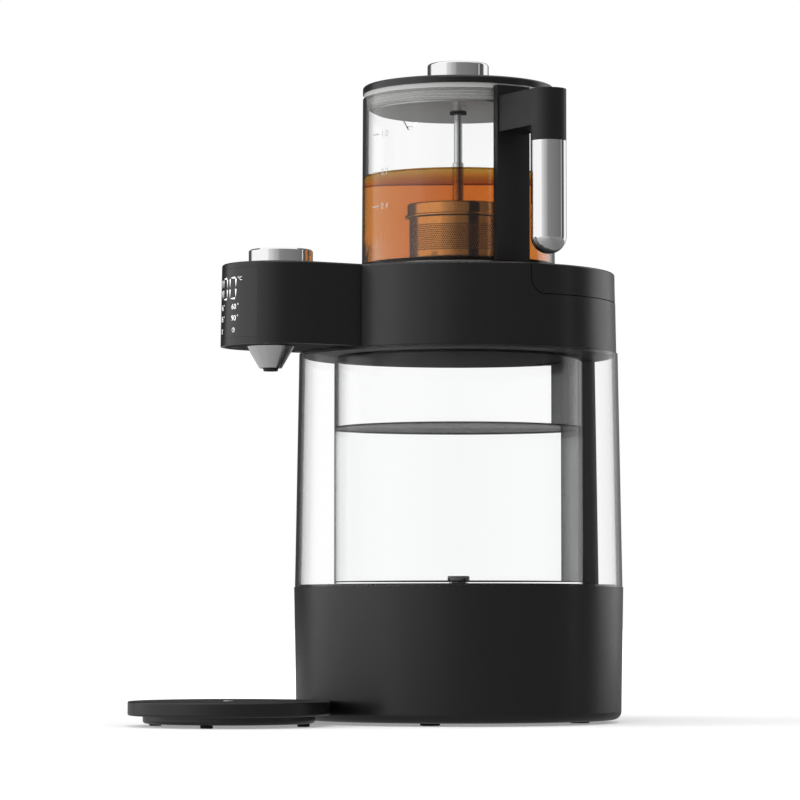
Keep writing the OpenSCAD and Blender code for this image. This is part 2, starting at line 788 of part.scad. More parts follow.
// The heating plate in the recess, with its flange under the recess floor
module heater_plate() {
    color("#9a9ca0") difference() {
        union() {
            translate([0, 0, recess_z - floor_t]) cylinder(h = floor_t + plate_rise, r = plate_r);
            translate([0, 0, recess_z - floor_t - flange_t]) cylinder(h = flange_t, r = plate_hole_r + 2);
        }
        translate([0, 0, recess_z - floor_t - flange_t - cut])
            cylinder(h = floor_t + flange_t + plate_rise + 2 * cut, r = sensor_r + fit);
    }
}

plate_rise = 0.5;
flange_t = 2;
sensor_r = 4;
pot_seat = recess_z + plate_rise + lift_gap;

module plate_seal() {
    color("#b8b8b4") translate([0, 0, recess_z - floor_t]) difference() {
        cylinder(h = floor_t, r = plate_hole_r - run);
        translate([0, 0, -cut]) cylinder(h = floor_t + 2 * cut, r = plate_r + run);
    }
}

// The element: an open ring of round tube with two terminals
module heater_element() {
    coil_r = plate_r * 0.68;
    wire_r = 3.4;
    color("#6d6a66") translate([0, 0, recess_z - floor_t - flange_t - wire_r - run]) rotate([0, 0, -75]) {
        rotate_extrude(angle = 330) translate([coil_r, 0]) circle(wire_r);
        for (a = [0, 330]) rotate([0, 0, a]) translate([coil_r, 0, 0]) mirror([0, 0, 1]) cylinder(h = 12, r = wire_r - 1);
    }
}

module temp_sensor() {
    color("#b5b08c") {
        translate([0, 0, recess_z - floor_t - flange_t]) cylinder(h = floor_t + flange_t + plate_rise - 0.1, r = sensor_r);
        translate([0, 0, recess_z - floor_t - flange_t - 8]) cylinder(h = 8, r = sensor_r + 2);
    }
}

// The control board under the encoder, hung on two posts, with its processor and a plug
module control_board() {
    chip_w = 16;
    plug_w = 8;
    board_front = -arm_reach - 15.8;
    color("#1f5c34") translate([-board_post_x - 4, board_front, board_z - board_t])
        cube([2 * board_post_x + 8, board_post_y + 6.2 - board_front, board_t]);
    color("#333333") {
        translate([-chip_w / 2, board_post_y - chip_w, board_z - board_t - 3]) cube([chip_w, chip_w, 3]);
        translate([board_post_x - plug_w, board_front + 4, board_z - board_t - plug_w])
            cube([plug_w, plug_w, plug_w]);
    }
}

// The encoder, screwed up under the deck by its bush
bush_r = 4.5;
encoder_floor = 0.7;

module dial_encoder() {
    color("#8a8d92") translate([0, -arm_reach, board_z]) difference() {
        union() {
            translate([-encoder_w / 2, -encoder_w / 2, 0]) cube([encoder_w, encoder_w, encoder_h]);
            cylinder(h = encoder_h + deck_t - 2 * fit, r = bush_r);
        }
        translate([0, 0, encoder_floor]) cylinder(h = encoder_h + deck_t, r = spindle_r + run);
    }
}

// The dial hangs clear of the deck by its travel, with the bright ring let into its foot
dial_foot = deck_top + dial_press + lift_gap;
dial_ring_h = 0.8;
dial_ring_w = 1.8;
socket_h = 6.5;

module dial_shaft() {
    low = board_z + encoder_floor + dial_press + 2 * fit;
    color("#b0b2b6") translate([0, -arm_reach, low]) cylinder(h = dial_foot + socket_h - fit - low, r = spindle_r);
}

module dial_knob() {
    edge = 0.9;
    top = deck_top + dial_h - dial_foot;
    color("#c8cace") translate([0, -arm_reach, dial_foot]) difference() {
        union() {
            cylinder(h = top - edge, r = dial_r - dial_ring_w);
            translate([0, 0, dial_ring_h]) cylinder(h = top - edge - dial_ring_h, r = dial_r);
            translate([0, 0, top - edge]) cylinder(h = edge, r1 = dial_r, r2 = dial_r - edge);
        }
        translate([0, 0, -cut]) cylinder(h = socket_h + cut, r = spindle_r + run);
    }
}

module dial_ring() {
    color("#b98f4a") translate([0, -arm_reach, dial_foot]) difference() {
        cylinder(h = dial_ring_h, r = dial_r - fit);
        translate([0, 0, -cut]) cylinder(h = dial_ring_h + 2 * cut, r = dial_r - dial_ring_w + run);
    }
}

module display_window() {
    color("#0b0b0d") window_zone(0, 0);
}

// The display's board stands on the bottom cover, behind the window
module display_board() {
    board_w = 0.92 * arm_r;
    color("#1f5c34") translate([-board_w / 2, -arm_reach - 0.75 * arm_r, tank_top + plate_t])
        cube([board_w, board_t, 0.75 * housing_h]);
}

// ---- Pot ----

rim_z = deck_top + pot_h;
rim_r = pot_r - pot_taper;
glass_foot = pot_seat + 0.8;
pot_floor = deck_top + 4.7;
beak_h = 13;
beak_low_r = 3.2;
beak_r = beak_out + 2.5;
beak_x = rim_r + beak_out - beak_r;
strip_r = pot_r + 5;
strip_low = deck_top + 4.4;
strip_top = rim_z + 1.3;
arm_top = rim_z - 5.9;
cap_low = arm_top - arm_h - 10.2;
grip_low = deck_top + 5.3;
stud_r = 2;
stud_h = 24;
stud_in = 11;

// The glass: a slightly tapered wall round a raised floor, with a beak on the left
module pot_glass() {
    color("#dfe5e6", 0.35) difference() {
        union() {
            translate([0, 0, glass_foot]) cylinder(h = rim_z - glass_foot, r1 = pot_r, r2 = rim_r);
            translate([-beak_x, 0, rim_z - beak_h]) cylinder(h = beak_h, r1 = beak_low_r, r2 = beak_r);
        }
        translate([0, 0, pot_floor + glass_t])
            cylinder(h = rim_z - pot_floor - glass_t + cut, r1 = pot_r - glass_t, r2 = rim_r - glass_t);
        translate([-beak_x, 0, rim_z - beak_h + glass_t])
            cylinder(h = beak_h, r1 = beak_low_r, r2 = beak_r);
        translate([0, 0, glass_foot - cut]) cylinder(h = pot_floor - glass_foot + cut, r = pot_r - glass_t);
    }
}

// The metal base that fills the glass foot and takes the heat
module pot_base() {
    color("#8f9195") translate([0, 0, pot_seat]) rounded_disc(pot_r - glass_t - fit, pot_floor - pot_seat, 0.4);
}

// The handle's strip along the glass, its arm and the cap over the grip
module handle_bracket() {
    color("#1c1c1e") difference() {
        union() {
            translate([0, 0, strip_low]) intersection() {
                difference() {
                    cylinder(h = strip_top - strip_low, r = strip_r);
                    translate([0, 0, -cut]) cylinder(h = strip_top - strip_low + 2 * cut, r = pot_r + 0.1);
                }
                translate([0, -strip_w / 2, 0]) cube([strip_r + cut, strip_w, strip_top - strip_low]);
            }
            translate([0, 0, arm_top - arm_h]) linear_extrude(arm_h)
                polygon([[pot_r + 0.8, -strip_w / 2 + 1], [grip_reach, -grip_r], [grip_reach, grip_r],
                    [pot_r + 0.8, strip_w / 2 - 1]]);
            translate([grip_reach, 0, cap_low]) cylinder(h = arm_top - cap_low, r = grip_r);
        }
        translate([grip_reach, 0, cap_low - cut]) cylinder(h = stud_h - stud_in + 1 + cut, r = stud_r + run);
    }
}

// The grip: a capsule with a round lower end
module handle_grip() {
    color("#c6c8cc") translate([grip_reach, 0, grip_low]) difference() {
        rotate_extrude() {
            translate([0, grip_r]) mirror([0, 1]) quarter(grip_r);
            translate([0, grip_r]) square([grip_r, cap_low - grip_low - grip_r]);
        }
        translate([0, 0, cap_low - grip_low - stud_in - 1]) cylinder(h = stud_in + 1 + cut, r = stud_r + run);
    }
}

module handle_stud() {
    color("#a8aab0") translate([grip_reach, 0, cap_low - stud_in]) cylinder(h = stud_h, r = stud_r);
}

// ---- Lid and infuser ----

lid_z = rim_z + gasket_rise;
lid_top = lid_z + lid_t;
gasket_foot = rim_z - gasket_drop;
plate_rim_r = rim_r - 7.2;
cup_r = plate_rim_r - 3.6;
cup_t = 1.2;
gasket_r = rim_r - glass_t - 2.3;
ridge_r = rim_r - glass_t - 0.5;
sleeve_r = rod_r + 1.5;
grommet_r = rod_r + 2.85;
grommet_h = 1.4;
grommet_low = gasket_foot - cup_t - grommet_h;
knob_z = lid_top + lift_gap;
basket_z = pot_floor + glass_t + 1.8;
basket_top = basket_z + basket_h;
neck_h = 3;
cap_r = basket_r + 0.1 + basket_wall;

module lid_disc() {
    color("#1b1b1d") translate([0, 0, lid_z]) difference() {
        rounded_disc(rim_r, lid_t, 1.6);
        translate([0, 0, -cut]) cylinder(h = lid_t + 2 * cut, r = sleeve_r + run);
    }
}

// The gasket: a sleeve with a flange on the glass rim and a ridge profile inside it
module lid_gasket() {
    pitch = (gasket_drop - 0.6) / ridges;
    color("#c9c9c5") rotate_extrude() {
        difference() {
            union() {
                translate([0, gasket_foot]) square([gasket_r, lid_z - gasket_foot]);
                translate([0, rim_z + lift_gap]) square([rim_r - 0.8, gasket_rise - lift_gap]);
                for (i = [0:ridges - 1]) translate([0, gasket_foot + (i + 0.5) * pitch])
                    polygon([[0, -pitch * 0.42], [gasket_r, -pitch * 0.42], [ridge_r, 0], [gasket_r, pitch * 0.42],
                        [0, pitch * 0.42]]);
            }
            translate([-cut, gasket_foot - cut]) square([cup_r + run + cut, lid_z - gasket_foot + 2 * cut]);
        }
    }
}

// The underside plate: a metal dish whose wall reaches up to the disc and carries the gasket
module lid_plate() {
    color("#9a9da0") translate([0, 0, gasket_foot - cup_t]) difference() {
        union() {
            cylinder(h = cup_t, r = plate_rim_r);
            cylinder(h = lid_z - gasket_foot + cup_t, r = cup_r);
        }
        translate([0, 0, cup_t]) cylinder(h = lid_z - gasket_foot + cut, r = cup_r - cup_t);
        translate([0, 0, -cut]) cylinder(h = cup_t + 2 * cut, r = sleeve_r + run);
    }
}

// The grommet: a flange under the plate and a sleeve up through the disc, in which the rod slides
module rod_grommet() {
    color("#151515") translate([0, 0, grommet_low]) difference() {
        union() {
            cylinder(h = grommet_h, r = grommet_r);
            cylinder(h = lid_top - grommet_low, r = sleeve_r);
        }
        translate([0, 0, -cut]) cylinder(h = lid_top - grommet_low + 2 * cut, r = rod_r + run);
    }
}

module lift_knob() {
    color("#c8cace") translate([0, 0, knob_z]) difference() {
        rounded_disc(knob_r, knob_h, 1.6);
        translate([0, 0, -cut]) cylinder(h = knob_h - 4 + cut, r = rod_r + run / 2);
    }
}

// The rod stands in a hub on the basket's floor, runs up through its lid and ends in the knob
module lift_rod() {
    low = basket_z + basket_wall;
    color("#b9bbbf") translate([0, 0, low]) cylinder(h = knob_z + knob_h - 4.1 - low, r = rod_r);
}

module rod_collar() {
    color("#b9bbbf") translate([0, 0, grommet_low - lift - 3]) difference() {
        rounded_disc(rod_r + 0.9, 3, 0.4);
        translate([0, 0, -cut]) cylinder(h = 3 + 2 * cut, r = rod_r + run / 2);
    }
}

// The basket's lid: a low steel cap that slides on the rod, with a bead round its foot, a hub and a ring of holes
hub_r = rod_r + 2;
hub_h = 4;

module basket_lid() {
    bead_r = 1.3;
    color("#b4b6ba") translate([0, 0, basket_top]) difference() {
        union() {
            rounded_disc(cap_r, basket_lid_h, 1.2);
            translate([0, 0, bead_r]) rotate_extrude() translate([cap_r, 0]) circle(bead_r);
        }
        translate([0, 0, -cut]) cylinder(h = basket_lid_h - basket_wall + cut, r = basket_r + 0.1);
        at_angles([0:30:330], basket_r * 0.62) cylinder(h = basket_lid_h + cut, r = 1.3);
        cylinder(h = basket_lid_h + cut, r = rod_r + run);
    }
    color("#b4b6ba") translate([0, 0, basket_top + basket_lid_h - hub_h]) difference() {
        cylinder(h = hub_h - basket_wall / 2, r = hub_r);
        translate([0, 0, -cut]) cylinder(h = hub_h + 2 * cut, r = rod_r + run);
    }
}

// The basket: a drawn steel cup with a band of holes, a ring of holes in its floor and a hub for the rod
module basket() {
    band_z = 6.5;
    pitch = (basket_h - band_z - 6) / (hole_rows - 0.5);
    color("#b4b6ba") translate([0, 0, basket_z]) difference() {
        translate([0, 0, 2]) {
            mirror([0, 0, 1]) rounded_cap(basket_r, 2);
            cylinder(h = basket_h + neck_h - 2, r = basket_r);
        }
        translate([0, 0, basket_wall + 1.2]) cylinder(h = basket_h + neck_h, r = basket_r - basket_wall);
        translate([0, 0, basket_wall]) cylinder(h = 2, r = basket_r - 2.4);
        for (row = [0:hole_rows - 1])
            translate([0, 0, band_z + row * pitch]) at_angles([for (i = [0:holes_round - 1])
                (i + (row % 2) / 2) * 360 / holes_round], basket_r - basket_wall - 1)
                rotate([0, 90, 0]) cylinder(h = basket_wall + 2, r = basket_hole_r);
        at_angles([0:30:330], basket_r * 0.55) translate([0, 0, -cut]) cylinder(h = 3, r = basket_hole_r);
    }
    color("#b4b6ba") translate([0, 0, basket_z + basket_wall / 2]) difference() {
        cylinder(h = hub_h + basket_wall / 2, r = hub_r);
        translate([0, 0, basket_wall / 2]) cylinder(h = hub_h + cut, r = rod_r + run / 2);
    }
}

// ---- Coaster ----

coaster_foot_h = foot_h;
tray_floor = 1.8;
coaster_mid = coaster_foot_h + coaster_low_h;
coaster_top = coaster_mid + coaster_up_h;
coaster_y = -(base_low_r + max(0, coaster_top - foot_h - base_edge) * slope + 0.3 + coaster_r);
grate_r = coaster_r - 2.6;

module at_coaster(z) {
    translate([0, coaster_y, z]) children();
}

module coaster_feet() {
    color("#161616") at_coaster(coaster_foot_h) at_angles([45, 135, 225, 315], coaster_low_r - 5.8)
        mirror([0, 0, 1]) rounded_disc(4, coaster_foot_h, min(0.6, coaster_foot_h / 2));
}

// The tray: a low dish on a smaller disc, with a ledge and a centre post that carry the top plate
module coaster_tray() {
    low_edge = 2;
    up_edge = 1.2;
    color("#1d1d1f") {
        at_coaster(coaster_foot_h + low_edge) {
            mirror([0, 0, 1]) rounded_cap(coaster_low_r, low_edge);
            cylinder(h = coaster_low_h - low_edge, r = coaster_low_r);
        }
        at_coaster(coaster_mid) difference() {
            translate([0, 0, up_edge]) {
                mirror([0, 0, 1]) rounded_cap(coaster_r, up_edge);
                rounded_disc(coaster_r, coaster_up_h - up_edge, 0.8);
            }
            translate([0, 0, coaster_up_h - grate_t]) cylinder(h = grate_t + cut, r = grate_r + fit);
            translate([0, 0, tray_floor]) cylinder(h = coaster_up_h, r = grate_r - 2);
        }
        at_coaster(coaster_mid + tray_floor - 0.2) difference() {
            cylinder(h = coaster_up_h - grate_t - tray_floor + 0.2, r = boss_r + 2);
            translate([0, 0, 0.2]) cylinder(h = coaster_up_h, r = boss_r);
        }
    }
}

module coaster_plate() {
    color("#2a2a2c") at_coaster(coaster_top - grate_t + lift_gap) difference() {
        cylinder(h = grate_t - lift_gap, r = grate_r);
        translate([0, 0, -cut]) cylinder(h = grate_t + 2 * cut, r = boss_r - 1.4);
        for (ring = [1:drain_rings])
            at_angles([for (i = [0:ring * 8 - 1]) i * 45 / ring], ring * (grate_r - 6) / (drain_rings + 0.4) + 4)
                translate([0, 0, -cut]) cylinder(h = grate_t + 2 * cut, r = 1.5);
    }
}

module coaster_boss() {
    color("#c8cace") at_coaster(coaster_top) {
        rounded_disc(boss_r, 0.5, 0.2);
        translate([0, 0, -grate_t + lift_gap]) cylinder(h = grate_t, r = boss_r - 1.5);
    }
}

base_shell();
base_cover();
base_feet();
base_screws();
cord_gland();
power_board();
water_pump();
suction_tube();
pressure_tube();
inline_heater();
riser_tube();
tank_gasket();
tank_vessel();
tank_valve();
tank_shell();
tank_ring();
spine();
housing_shell();
housing_cover();
housing_screws();
outlet_tube();
spout_cone();
spout_tip();
fill_funnel();
filler_cover();
heater_plate();
plate_seal();
heater_element();
temp_sensor();
control_board();
dial_encoder();
dial_shaft();
dial_knob();
dial_ring();
display_window();
display_board();
pot_glass();
pot_base();
handle_bracket();
handle_grip();
handle_stud();
lid_disc();
lid_gasket();
lid_plate();
rod_grommet();
lift_knob();
lift_rod();
rod_collar();
basket_lid();
basket();
coaster_tray();
coaster_plate();
coaster_boss();
coaster_feet();
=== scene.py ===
import math

import bmesh
import bpy
from mathutils import Matrix, Vector


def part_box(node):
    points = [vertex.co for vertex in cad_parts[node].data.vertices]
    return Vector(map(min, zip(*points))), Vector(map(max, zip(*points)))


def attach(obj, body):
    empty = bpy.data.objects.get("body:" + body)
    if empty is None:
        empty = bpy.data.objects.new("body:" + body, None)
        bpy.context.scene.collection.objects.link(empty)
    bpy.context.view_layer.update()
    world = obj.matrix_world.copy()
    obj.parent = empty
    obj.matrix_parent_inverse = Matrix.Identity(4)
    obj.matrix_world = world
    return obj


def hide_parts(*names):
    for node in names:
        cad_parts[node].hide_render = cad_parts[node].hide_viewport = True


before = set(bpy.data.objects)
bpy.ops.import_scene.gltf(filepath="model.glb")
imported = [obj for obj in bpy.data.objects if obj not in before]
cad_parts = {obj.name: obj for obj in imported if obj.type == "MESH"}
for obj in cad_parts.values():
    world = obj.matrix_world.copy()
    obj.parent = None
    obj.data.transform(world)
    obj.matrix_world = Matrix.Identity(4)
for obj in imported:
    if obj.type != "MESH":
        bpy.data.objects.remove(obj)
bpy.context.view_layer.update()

# ---- Camera ----
# It stands in front of the machine and 58 degrees round to its handle side, a little above the foot
# of the base, and looks slightly up, so the deck hides its own top and the lid's underside shows.
view_side = 58
camera_away, camera_height = 2.47, 0.0725
looks_up, turned_left = 3.295, 0.906


def beside(turn, out, up):
    # a place beside the machine: turn in degrees to the right of the camera, out and up in metres
    angle = math.radians(view_side + turn)
    return Vector((out * math.sin(angle), -out * math.cos(angle), up))


scene = bpy.context.scene
lens = bpy.data.cameras.new("studio_camera")
lens.lens, lens.sensor_width = 166.5, 36
lens.clip_start, lens.clip_end = 0.1, 60
camera = bpy.data.objects.new("studio_camera", lens)
camera.location = beside(0, camera_away, camera_height)
camera.rotation_euler = (math.radians(90 + looks_up), 0, math.radians(view_side + turned_left))
scene.collection.objects.link(camera)
scene.camera = camera
scene.view_settings.view_transform = "Standard"
# light passes several walls of glass and liquid, one behind the other
scene.cycles.max_bounces = 32
scene.cycles.transmission_bounces = 32
scene.cycles.transparent_max_bounces = 16

# ---- Studio ----
# A white cyclorama: a large pale floor that keeps the contact shadows, an even sky and three soft
# lamps. A ring of tall white and dark boards and a disc of grey felt show in mirrored light alone.
white = (1, 1, 1, 1)


def add_node(tree, kind, inputs=None, **settings):
    made = tree.nodes.new(kind)
    for key, value in settings.items():
        setattr(made, key, value)
    for key, value in (inputs or {}).items():
        if isinstance(value, bpy.types.NodeSocket):
            tree.links.new(value, made.inputs[key])
        else:
            made.inputs[key].default_value = value
    return made


def reckon(tree, operation, first, second=0.0, clamp=False):
    return add_node(tree, "ShaderNodeMath", {0: first, 1: second},
                    operation=operation, use_clamp=clamp).outputs[0]


def rescale(tree, value, low, high, to_low, to_high, **settings):
    return add_node(tree, "ShaderNodeMapRange",
                    {"Value": value, "From Min": low, "From Max": high,
                     "To Min": to_low, "To Max": to_high}, **settings).outputs[0]


def noise(tree, place, scale, detail):
    return add_node(tree, "ShaderNodeTexNoise",
                    {"Vector": place, "Scale": scale, "Detail": detail}).outputs["Fac"]


def length_of(tree, vector):
    return add_node(tree, "ShaderNodeVectorMath", {0: vector}, operation="LENGTH").outputs["Value"]


def mix_shaders(tree, share, first, second):
    return add_node(tree, "ShaderNodeMixShader", {0: share, 1: first, 2: second}).outputs[0]


def new_material(name):
    material = bpy.data.materials.new(name)
    material.use_nodes = True
    tree = material.node_tree
    tree.nodes.clear()
    return material, tree, add_node(tree, "ShaderNodeTexCoord").outputs["Object"]


def put_on(tree, **layers):
    add_node(tree, "ShaderNodeOutputMaterial", layers)


def seen_directly(tree):
    # by the eye, in a polished surface or through glass, but not as the light that falls on a piece
    path = add_node(tree, "ShaderNodeLightPath").outputs
    straight = reckon(tree, "ADD", path["Is Camera Ray"], path["Is Glossy Ray"])
    clear_path = reckon(tree, "ADD", straight, path["Is Transmission Ray"], clamp=True)
    return reckon(tree, "SUBTRACT", clear_path, path["Diffuse Depth"], clamp=True)


def after_a_mirror(tree, direct, mirrored):
    # direct is seen straight or only through glass, mirrored in what a polished surface throws back
    bounces = add_node(tree, "ShaderNodeLightPath").outputs["Glossy Depth"]
    return mix_shaders(tree, reckon(tree, "GREATER_THAN", bounces, 0.5), direct, mirrored)


def transparent(tree, colour=white):
    return add_node(tree, "ShaderNodeBsdfTransparent", {"Color": colour}).outputs[0]


def glow(tree, colour, strength):
    return add_node(tree, "ShaderNodeEmission", {"Color": colour, "Strength": strength}).outputs[0]


world = bpy.data.worlds.new("studio")
scene.world = world
world.use_nodes = True
tree = world.node_tree
tree.nodes.clear()
even_sky, white_sky = (
    add_node(tree, "ShaderNodeBackground", {"Color": white, "Strength": strength}).outputs[0]
    for strength in (0.55, 1.0))
add_node(tree, "ShaderNodeOutputWorld",
         {"Surface": mix_shaders(tree, seen_directly(tree), even_sky, white_sky)})


def new_mesh(name, build, material, body=None, smooth=True):
    bm = bmesh.new()
    build(bm)
    mesh = bpy.data.meshes.new(name)
    bm.to_mesh(mesh)
    bm.free()
    if smooth:
        mesh.shade_smooth()
    mesh.materials.append(material)
    made = bpy.data.objects.new(name, mesh)
    scene.collection.objects.link(made)
    if body:
        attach(made, body)
    return made


floor_r = 14
paper, tree, place = new_material("floor_paper")
tone = rescale(tree, noise(tree, place, 40.0, 5.0), 0, 1, 0.78, 0.82)
tint = add_node(tree, "ShaderNodeCombineColor", {0: tone, 1: tone, 2: tone}).outputs[0]
chalk = add_node(tree, "ShaderNodeBsdfDiffuse", {"Color": tint, "Roughness": 0.6}).outputs[0]
# near the machine the paper glows less, so that the shadow on it can be seen
paler = rescale(tree, length_of(tree, place), 0.25, 2.2, 0.3, 1.0)
shine = glow(tree, white, reckon(tree, "MULTIPLY", seen_directly(tree), paler))
lit_paper = add_node(tree, "ShaderNodeAddShader", {0: chalk, 1: shine}).outputs[0]
put_on(tree, Surface=after_a_mirror(tree, lit_paper, transparent(tree)))
floor = new_mesh("floor", lambda bm: bmesh.ops.create_circle(
    bm, cap_ends=True, segments=96, radius=floor_r), paper)

lamps_aim = Vector((0, 0, 0.2))
for name, turn, out, up, wide, high, power in (
    ("left_softbox", -80, 2.3, 1.1, 1.3, 1.7, 22),
    ("right_rear_strip", 128, 2.4, 1.0, 0.7, 1.8, 14),
    ("overhead", 20, 0.3, 2.4, 1.8, 1.8, 20),
):
    lamp = bpy.data.lights.new(name, "AREA")
    lamp.shape, lamp.size, lamp.size_y, lamp.energy = "RECTANGLE", wide, high, power
    hung = bpy.data.objects.new(name, lamp)
    hung.location = beside(turn, out, up)
    hung.rotation_euler = (lamps_aim - hung.location).to_track_quat("-Z", "Y").to_euler()
    hung.visible_camera = hung.visible_glossy = hung.visible_transmission = False
    scene.collection.objects.link(hung)

# turn round the object from the camera to the right, in degrees, and brightness of the boards there
boards = (
    (-180, 0.08), (-130, 0.08), (-116, 1.0), (-48, 1.0), (-38, 0.66), (-14, 0.42), (-2, 0.24),
    (20, 0.21), (60, 0.18), (82, 0.14), (84, 0.6), (87, 0.6), (89, 0.08), (108, 0.1), (115, 1.0),
    (141, 1.0), (149, 0.35), (180, 0.08))
ring_r, ring_high, below_floor = 2.1, 2.6, -0.01
card, tree, place = new_material("studio_boards")
turned = add_node(tree, "ShaderNodeMapping",
                  {"Vector": place, "Rotation": (0, 0, math.radians(90 - view_side))},
                  vector_type="POINT").outputs[0]
round_about = add_node(tree, "ShaderNodeTexGradient", {"Vector": turned}, gradient_type="RADIAL")
ramp = add_node(tree, "ShaderNodeValToRGB", {"Fac": round_about.outputs["Fac"]})
ramp.color_ramp.interpolation = "EASE"
stops = ramp.color_ramp.elements
for at, (turn, bright) in enumerate(boards):
    where = (turn + 180) / 360
    stop = stops[at] if at < 2 else stops.new(where)
    stop.position, stop.color = where, (bright, bright, bright, 1)
shine = glow(tree, ramp.outputs["Color"], 1.0)
put_on(tree, Surface=after_a_mirror(tree, transparent(tree), shine))


def ring_of_boards(bm):
    bmesh.ops.create_circle(bm, segments=128, radius=ring_r)
    raised = bmesh.ops.extrude_edge_only(bm, edges=bm.edges[:])["geom"]
    bmesh.ops.translate(bm, vec=(0, 0, ring_high),
                        verts=[v for v in raised if isinstance(v, bmesh.types.BMVert)])
    bmesh.ops.translate(bm, vec=(0, 0, below_floor), verts=bm.verts)


# the felt is brighter further out and to the camera's left
felt, tree, place = new_material("studio_felt")
nap = rescale(tree, noise(tree, place, 3.0, 2.0), 0, 1, 0.9, 1.1)
outwards = rescale(tree, length_of(tree, place), 0.2, ring_r, 0.3, 0.5)
rightwards = add_node(tree, "ShaderNodeVectorMath", {0: place, 1: (
    math.cos(math.radians(view_side)), math.sin(math.radians(view_side)), 0)},
    operation="DOT_PRODUCT").outputs["Value"]
lean = rescale(tree, rightwards, -0.5, 0.3, 1.3, 0.6)
level = reckon(tree, "MULTIPLY", reckon(tree, "MULTIPLY", nap, outwards), lean)
put_on(tree, Surface=after_a_mirror(tree, transparent(tree), glow(tree, white, level)))


def felt_disc(bm):
    bmesh.ops.create_circle(bm, cap_ends=True, segments=96, radius=ring_r,
                            matrix=Matrix.Translation((0, 0, below_floor)))


for name, build, finish in (("board_ring", ring_of_boards, card), ("floor_felt", felt_disc, felt)):
    board = new_mesh(name, build, finish)
    board.visible_camera = board.visible_diffuse = False
    board.visible_shadow = board.visible_volume_scatter = False

# ---- Base ----
# The casing is one moulding of black plastic with a fine spark-eroded skin. Its bottom cover is
# screwed on from below, and five rubber feet are pressed into it. Board, pump and heater stand
# inside on the cover.


def mix_colours(tree, share, *colours):
    first, second = (c + (1,) if isinstance(c, tuple) else c for c in colours)
    return add_node(tree, "ShaderNodeMix", {0: share, 6: first, 7: second},
                    data_type="RGBA").outputs[2]


def bump(tree, height, strength, distance):
    return add_node(tree, "ShaderNodeBump",
                    {"Height": height, "Strength": strength, "Distance": distance}).outputs[0]


def surface_of(tree, inputs):
    return add_node(tree, "ShaderNodeBsdfPrincipled", inputs).outputs[0]


def moulded(name, colour, rough, grain=0.0004, depth=0.012, uneven=0.12, specular=0.5):
    # grain is the width of one dimple of the skin in metres, and depth is in millimetres; uneven is
    # the share by which the colour flows darker and paler
    material, tree, place = new_material(name)
    dark, pale = (tuple(c * (1 + sign * uneven) for c in colour) for sign in (-1, 1))
    flow, touch = noise(tree, place, 18.0, 4.0), noise(tree, place, 55.0, 6.0)
    dimples_across = 6.3
    skin = noise(tree, place, 1 / grain / dimples_across, 2.0)
    put_on(tree, Surface=surface_of(tree, {
        "Base Color": mix_colours(tree, flow, dark, pale),
        "Roughness": rescale(tree, touch, 0.3, 0.7, rough - 0.025, rough + 0.03),
        "Normal": bump(tree, skin, 0.25, depth / 1000),
        "Specular IOR Level": specular}))
    return material


def dress(material, *names):
    for name in names:
        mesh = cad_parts[name].data
        mesh.materials.clear()
        mesh.materials.append(material)


satin_black = moulded("satin_black_moulding", (0.003, 0.003, 0.0034), 0.29, specular=0.8)
dress(satin_black, "base_shell")
matte_black = moulded("matte_black_moulding", (0.009, 0.009, 0.0095), 0.46, grain=0.0006,
                      depth=0.03)
dress(matte_black, "base_cover")
foot_rubber = moulded("foot_rubber", (0.014, 0.014, 0.014), 0.75, grain=0.0008, depth=0.05,
                      specular=0.3)
dress(foot_rubber, "base_feet", "cord_gland")


def worked_metal(name, colour, rough, wide, lines, depth, turned_about=None, stretch=(1, 1, 60)):
    # wide is how far the roughness varies, lines the marks per metre, and depth is in millimetres;
    # turned_about is X and Y of the lathe's axis, or None for a straight grain
    material, tree, place = new_material(name)
    if turned_about is None:
        drawn = add_node(tree, "ShaderNodeMapping", {"Vector": place, "Scale": stretch}).outputs[0]
        marks = noise(tree, drawn, lines, 3.0)
    else:
        centred = add_node(tree, "ShaderNodeMapping", {
            "Vector": place, "Location": (-turned_about[0], -turned_about[1], 0)}).outputs[0]
        marks = add_node(tree, "ShaderNodeTexWave",
                         {"Vector": centred, "Scale": lines, "Distortion": 0.4, "Detail": 2.0},
                         wave_type="RINGS", rings_direction="Z").outputs["Fac"]
    smear = noise(tree, place, 90.0, 5.0)
    put_on(tree, Surface=surface_of(tree, {
        "Base Color": mix_colours(tree, marks, tuple(c * 0.93 for c in colour), colour),
        "Metallic": 1.0,
        "Roughness": rescale(tree, smear, 0.3, 0.7, rough, rough + wide),
        "Normal": bump(tree, marks, 0.2, depth / 1000)}))
    return material


zinc = worked_metal("zinc_plated_screws", (0.62, 0.63, 0.65), 0.25, 0.15, 400, 0.004)
dress(zinc, "base_screws", "housing_screws")

green_lacquer = (0.02, 0.11, 0.04)


def board_finish(name, parts_from):
    # traces under a green lacquer, and dark and brown parts above the height parts_from
    material, tree, place = new_material(name)
    height = add_node(tree, "ShaderNodeSeparateXYZ", {0: place}).outputs["Z"]
    traces = add_node(tree, "ShaderNodeTexBrick", {
        "Vector": place, "Scale": 160.0, "Mortar Size": 0.06, "Color1": green_lacquer + (1,),
        "Color2": green_lacquer + (1,), "Mortar": tuple(c * 2.2 for c in green_lacquer) + (1,)})
    parts = mix_colours(tree, noise(tree, place, 60.0, 1.0),
                        (0.02, 0.02, 0.025), (0.12, 0.09, 0.03))
    above = reckon(tree, "GREATER_THAN", height, parts_from)
    put_on(tree, Surface=surface_of(tree, {
        "Base Color": mix_colours(tree, above, traces.outputs["Color"], parts), "Roughness": 0.4,
        "Normal": bump(tree, traces.outputs["Fac"], 0.3, 0.00004)}))
    return material


